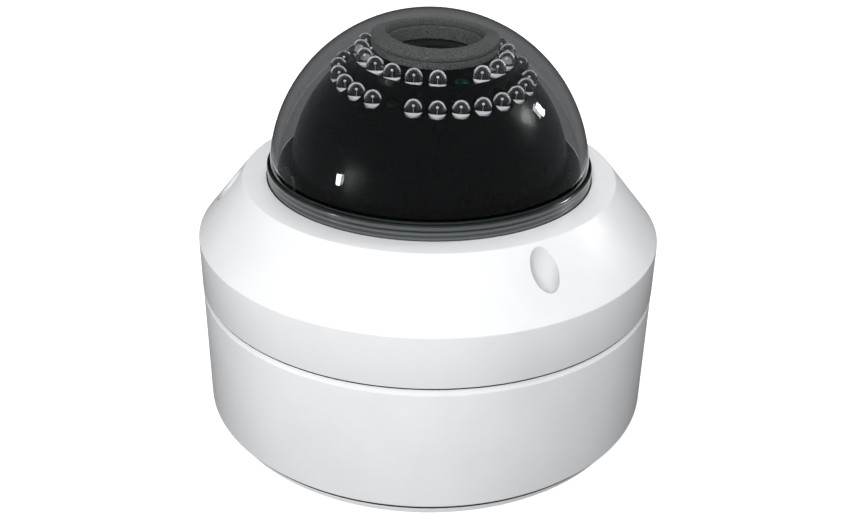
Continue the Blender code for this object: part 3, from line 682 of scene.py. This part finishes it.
def shroud_screw(number, spot):
    """A small screw with a cross cut in its head."""
    seat, foot, head_r, shank_r = SHROUD_SCREW_SEAT, 24.0, 1.6, 0.8
    top_z = seat + 1.0
    profile = rounded([
        (0, top_z), (head_r, top_z), (head_r, seat), (shank_r, seat), (shank_r, foot), (0, foot),
    ], 0.3)
    screw = lathe(profile, 28, LENS @ Matrix.Translation(spot * MM))
    slot = Matrix.Diagonal((0.0022, 0.00045, 0.0009, 1))
    centre = LENS @ Matrix.Translation((spot + Vector((0, 0, top_z - 0.2))) * MM)
    cross = [centre @ Matrix.Rotation(turn, 4, "Z") @ slot for turn in (0, pi / 2)]
    screw = combined(screw, [copies(unit_cube(), [bar]) for bar in cross])
    piece(f"crosshead_screw_{number}", screw, "dark_metal", [f"shroud_screw_{number}"])


def led_body():
    """Clear epoxy: a round tip on a straight side, over a flange."""
    side_z, foot_z, flange_r = -5.4, -6.6, 2.9
    tip = arc(LED_R, LED_R * 0.98, 0, 12)[1:]
    return lathe([(0, LED_R), *tip, (LED_R, side_z), (flange_r, side_z), (flange_r, foot_z), (0, foot_z)], 28)


def led_cup():
    """A reflector cup on its lead frame, under a small bright bead on a thin post. The bead is a painted
    highlight: a bright speck that stands for the glint in each LED, and its post is too thin to show.
    """
    post_r, stem_r, foot_z = 0.03, 0.5, -6.4
    # Painted highlight: a bright bead set where each LED shows its glint.
    glint_bead = [(0, 0.55), (0.3, 0.4), (0.3, 0.1), (post_r, 0.0)]
    bowl = [(post_r, -2.6), (0.6, -2.7), (1.5, -1.9), (1.7, -1.9), (1.3, -3.2)]
    stem = [(stem_r, -3.6), (stem_r, foot_z), (0, foot_z)]
    return lathe(rounded([*glint_bead, *bowl, *stem], 0.1), 16)


def led_ring(name, node, azimuths, radius, height, inner, outer):
    """One circuit board with the LEDs that stand on it."""
    spots = [LENS @ Matrix.Translation(in_lens(az, radius, height) * MM) for az in azimuths]
    upper = height - 6.8
    lower = upper - 1.6
    board = rounded([(outer, upper), (outer, lower), (inner, lower), (inner, upper)], 0.1)
    piece(f"{name}_led_board", lathe(board, 96, LENS), "circuit_board", [node])
    body = BODY_OF[node]
    glass = piece(f"{name}_led_lenses", copies(led_body(), spots), "clear_dome", body=body, finish=LED_GLASS)
    # This piece also carries the painted glint beads.
    cups = piece(f"{name}_led_cups_and_glints", copies(led_cup(), spots), "steel", body=body, finish=LED_CUP)
    for made in (glass, cups):
        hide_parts(node)


def leds():
    led_ring("outer", "led_board_outer", outer_azimuths(), OUTER_RING_R, OUTER_LED_Z, 18.5, 31.7)
    led_ring("inner", "led_board_inner", inner_azimuths(), INNER_RING_R, INNER_LED_Z, 15.8, 24.9)


def photocell():
    cell_r, low, high = 2.3, 33.1, 38.6
    profile = rounded([(0, high), (cell_r, high), (cell_r, low), (0, low)], 0.5)
    spot = in_lens(PHOTOCELL_AZ, INNER_RING_R)
    cell = lathe(profile, 32, LENS @ Matrix.Translation(spot * MM))
    piece("light_sensor", cell, "photocell", ["photocell"])


def foam_ring(name, node, profile):
    """Foam, its surface broken up by its open cells."""
    cell_size, cell_depth = 1600, 0.12  # cells per metre, and depth in millimetres
    mesh = lathe(rounded(profile, 0.35), 200, LENS)
    cut = bmesh.new()
    cut.from_mesh(mesh)
    bmesh.ops.subdivide_edges(cut, edges=[e for e in cut.edges if e.calc_length() > 0.0008], cuts=2,
                              use_grid_fill=True)
    for vert in cut.verts:
        vert.normal_update()
    shifts = [(v, v.normal * (noise.noise(v.co * cell_size) * cell_depth * MM)) for v in cut.verts]
    for vert, shift in shifts:
        vert.co += shift
    cut.to_mesh(mesh)
    cut.free()
    piece(name, mesh, "foam", [node], sharp=70)


def foam():
    """Two layers round the lens. The lower one lines the hub, the upper one meets the dome."""
    touch = DOME_IN - 0.4
    split = 42.9
    lining = HUB_Z - 2.0  # how far the lower layer reaches down inside the hub
    seat, lining_r, bore = HUB_Z + 0.1, FOAM_BORE + 0.2, FOAM_BORE - 0.4
    foam_ring("foam_lower", "foam_ring_lower", [
        (FOAM_R, split), (FOAM_R, seat), (lining_r, seat), (lining_r, lining), (bore, lining), (bore, split),
    ])
    top_in, steps = FOAM_BORE + 0.6, 6
    radii = [top_in + (FOAM_R - top_in) * i / steps for i in range(steps + 1)]
    upper = [(r, sqrt(touch**2 - r**2)) for r in radii]
    foot = split + 0.15
    foam_ring("foam_upper", "foam_ring_upper", [
        *upper, (FOAM_R, foot), (FOAM_BORE, foot), (FOAM_BORE, upper[0][1] - 0.9),
    ])


# ---- Lens ---------------------------------------------------------------------------------------


def lens_tube():
    """Front tube, neck under the two rings, flange, and rear tube."""
    front_r, neck_r, flange_r, rear_r, bore = 13.4, 11.0, 14.0, 12.5, 9.0
    front_z, neck_top, flange_z, rear_z, foot_z = 38.4, 31.4, 8.0, 6.8, -5.0
    glass_r, glass_seat = 11.6, 33.5
    lip_r, lip_z = 10.4, 37.6
    barrel = rounded([
        (front_r, front_z), (front_r, neck_top), (neck_r, neck_top), (neck_r, flange_z),
        (flange_r, flange_z), (flange_r, rear_z), (rear_r, rear_z), (rear_r, foot_z), (bore, foot_z),
        (bore, glass_seat), (glass_r, glass_seat), (glass_r, lip_z), (lip_r, lip_z),
        (lip_r, lip_z + 0.4), (12.3, front_z),
    ], 0.2)
    piece("lens_tube", lathe(barrel, 96, LENS), "dark_metal", ["lens_barrel"])


def front_element():
    radius, crown, sag, foot, steps = 11.3, 38.0, 2.4, 33.8, 16
    face = [(radius * i / steps, crown - sag * (i / steps) ** 2) for i in range(1, steps + 1)]
    glass = lathe([(0, crown), *face, (radius, foot), (0, foot)], 80, LENS)
    piece("front_element", glass, "lens_glass", ["lens_front_glass"], sharp=50)


def grip(name, z0, z1):
    """A turning ring with grooves round its edge."""
    inner, outer, grooves = 11.4, 14.2, 36
    ring = lathe(rounded([(outer, z1), (outer, z0), (inner, z0), (inner, z1)], 0.3), 96, LENS)
    turns = [LENS @ Matrix.Rotation(2 * pi * k / grooves, 4, "Z") @ Matrix.Translation((0.0145, 0, 0))
             for k in range(grooves)]
    ring = combined(ring, [copies(rod(0.45, z0 + 1, z1 - 1, 8), turns)])
    piece(f"{name}_grip", ring, "black_shroud", [f"{name}_ring"])


def carried_over():
    """Every CAD node that stays in view gets its slot's finish."""
    for node, made in frame["nodes"].items():
        finish = FINISHES[SLOT_OF[node]]
        made.data.materials.clear()
        made.data.materials.append(finish)


carried_over()
studio()
camera()
mounting()
housing()
side_entry_plug()
rim_seal()
cover()
dome()
dome_seal()
dome_liner()
eyeball()
leds()
photocell()
foam()
lens_tube()
front_element()
grip("zoom", 8.4, 17.0)
grip("focus", 17.6, 26.0)
